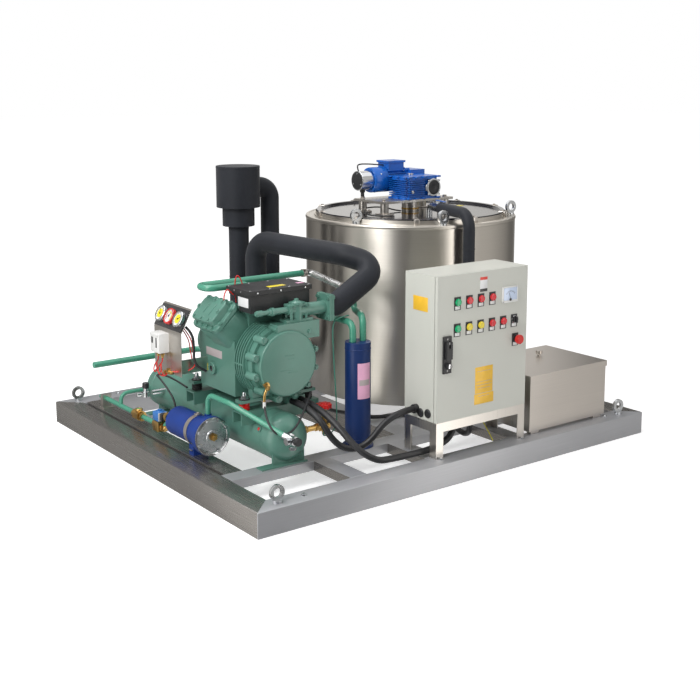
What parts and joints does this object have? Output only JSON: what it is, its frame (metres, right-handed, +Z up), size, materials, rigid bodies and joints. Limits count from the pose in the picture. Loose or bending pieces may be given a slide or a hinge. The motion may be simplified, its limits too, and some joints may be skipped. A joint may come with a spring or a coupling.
{
  "type": "flake ice machine",
  "caption": "Skid-mounted flake ice machine: insulated drum with geared drive, compressor set on a receiver, water tank and control cabinet.",
  "frame": {"origin": "middle of the skid's underside", "axes": "+X along the long front side towards the drum and tank, +Y from the cabinet's door side to the back, +Z up"},
  "size_m": [2.1, 1.8, 1.223],
  "materials": {
    "frame_steel": "satin",
    "drum_steel": "brushed",
    "sheet_steel": "satin",
    "bright_zinc": "polished",
    "green_paint": "semi-gloss",
    "blue_paint": "gloss",
    "navy_paint": "gloss",
    "grey_paint": "satin",
    "black_gloss": "gloss",
    "black_plastic": "satin",
    "black_foam": "matte",
    "buffer_rubber": "matte",
    "pale_plastic": "satin",
    "lamp_plastic": "gloss",
    "red_plastic": "gloss",
    "white_plastic": "gloss",
    "brass_metal": "satin",
    "cast_steel": "machined"
  },
  "bodies": {
    "machine": {"skid_frame": "frame_steel", "skid_cross_members": "frame_steel", "lifting_eyes": "bright_zinc", "cabinet_stand": "sheet_steel", "cabinet_box": "grey_paint", "mounting_plate": "bright_zinc", "control_gear": "pale_plastic", "drum_jacket": "drum_steel", "evaporator_drum": "sheet_steel", "drum_cover": "black_gloss", "drive_bridge": "sheet_steel", "drum_bottom": "sheet_steel", "gearbox": "blue_paint", "drive_motor": "blue_paint", "sensor_cap": "bright_zinc", "water_valve": "bright_zinc", "water_pipe": "black_foam", "water_tank": "sheet_steel", "float_valve": "brass_metal", "water_pump": "cast_steel", "receiver": "green_paint", "receiver_valves": "brass_metal", "compressor_mounts": "buffer_rubber", "compressor_body": "green_paint", "motor_end_cover": "green_paint", "cylinder_heads": "green_paint", "terminal_box": "black_plastic", "suction_valve": "green_paint", "suction_line": "black_foam", "suction_column": "black_foam", "discharge_line": "green_paint", "discharge_flex": "bright_zinc", "oil_separator": "navy_paint", "filter_drier": "blue_paint", "liquid_line": "green_paint", "solenoid_coil": "blue_paint", "pipe_clamp": "sheet_steel", "gauge_panel": "sheet_steel", "pressure_gauges": "white_plastic", "pressure_control": "white_plastic", "cable_hose_upper": "black_foam", "cable_hose_lower": "black_foam", "cable_glands": "black_plastic"},
    "door": {"cabinet_door": "grey_paint", "control_plates": "black_plastic", "indicator_lamps": "lamp_plastic", "switch_bodies": "black_plastic", "panel_meter": "white_plastic"},
    "latch": {"lock_spindle": "cast_steel"},
    "handle": {"door_handle": "black_plastic"},
    "selector": {"selector_knob": "black_plastic"},
    "stop": {"stop_button": "red_plastic"},
    "shaft": {"main_shaft": "sheet_steel", "sprinkler_pan": "sheet_steel"},
    "cutter": {"ice_cutter": "sheet_steel"},
    "rotor": {"motor_rotor": "cast_steel"},
    "valve_lever": {"water_valve_lever": "blue_paint"},
    "float": {"float_arm": "sheet_steel"},
    "lid": {"tank_lid": "sheet_steel"},
    "handwheel": {"red_handwheel": "red_plastic"}
  },
  "joints": [
    {"name": "door_hinge", "type": "hinge", "parent": "machine", "child": "door", "pos_m": [0.334, -0.829, 0.55], "axis": [0, 0, 1], "range_deg": [0, 110]},
    {"name": "latch_turn", "type": "hinge", "parent": "door", "child": "latch", "pos_m": [-0.111, -0.839, 0.578], "axis": [0, -1, 0], "range_deg": [0, 90]},
    {"name": "handle_tilt", "type": "hinge", "parent": "latch", "child": "handle", "pos_m": [-0.111, -0.8545, 0.578], "axis": [-1, 0, 0], "range_deg": [0, 35]},
    {"name": "selector_turn", "type": "hinge", "parent": "door", "child": "selector", "pos_m": [0.263, -0.85, 0.629], "axis": [0, -1, 0], "range_deg": [-45, 45]},
    {"name": "stop_press", "type": "slide", "parent": "door", "child": "stop", "axis": [0, 1, 0], "range_m": [0, 0.005]},
    {"name": "shaft_turn", "type": "hinge", "parent": "machine", "child": "shaft", "pos_m": [0.52, 0.153, 0.6], "axis": [0, 0, 1], "continuous": true},
    {"name": "cutter_roll", "type": "hinge", "parent": "shaft", "child": "cutter", "pos_m": [0.29975, -0.16155, 0.56], "axis": [0, 0, 1], "continuous": true},
    {"name": "rotor_spin", "type": "hinge", "parent": "machine", "child": "rotor", "pos_m": [0.45, 0.247, 1.131], "axis": [1, 0, 0], "continuous": true},
    {"name": "valve_lever_turn", "type": "hinge", "parent": "machine", "child": "valve_lever", "pos_m": [0.4878, -0.09015, 1.05], "axis": [0, 0, 1], "range_deg": [0, 90]},
    {"name": "float_swing", "type": "hinge", "parent": "machine", "child": "float", "pos_m": [0.462, -0.6505, 0.299], "axis": [0, 1, 0], "range_deg": [0, 33]},
    {"name": "lid_lift", "type": "slide", "parent": "machine", "child": "lid", "axis": [0, 0, 1], "range_m": [0, 0.3]},
    {"name": "handwheel_turn", "type": "hinge", "parent": "machine", "child": "handwheel", "pos_m": [-0.445, -0.46, 0.285], "axis": [0, 0, 1], "range_deg": [0, 1080]}
  ],
  "couplings": [
    {"joint": "rotor_spin", "follows": "shaft_turn", "ratio": 600}
  ]
}
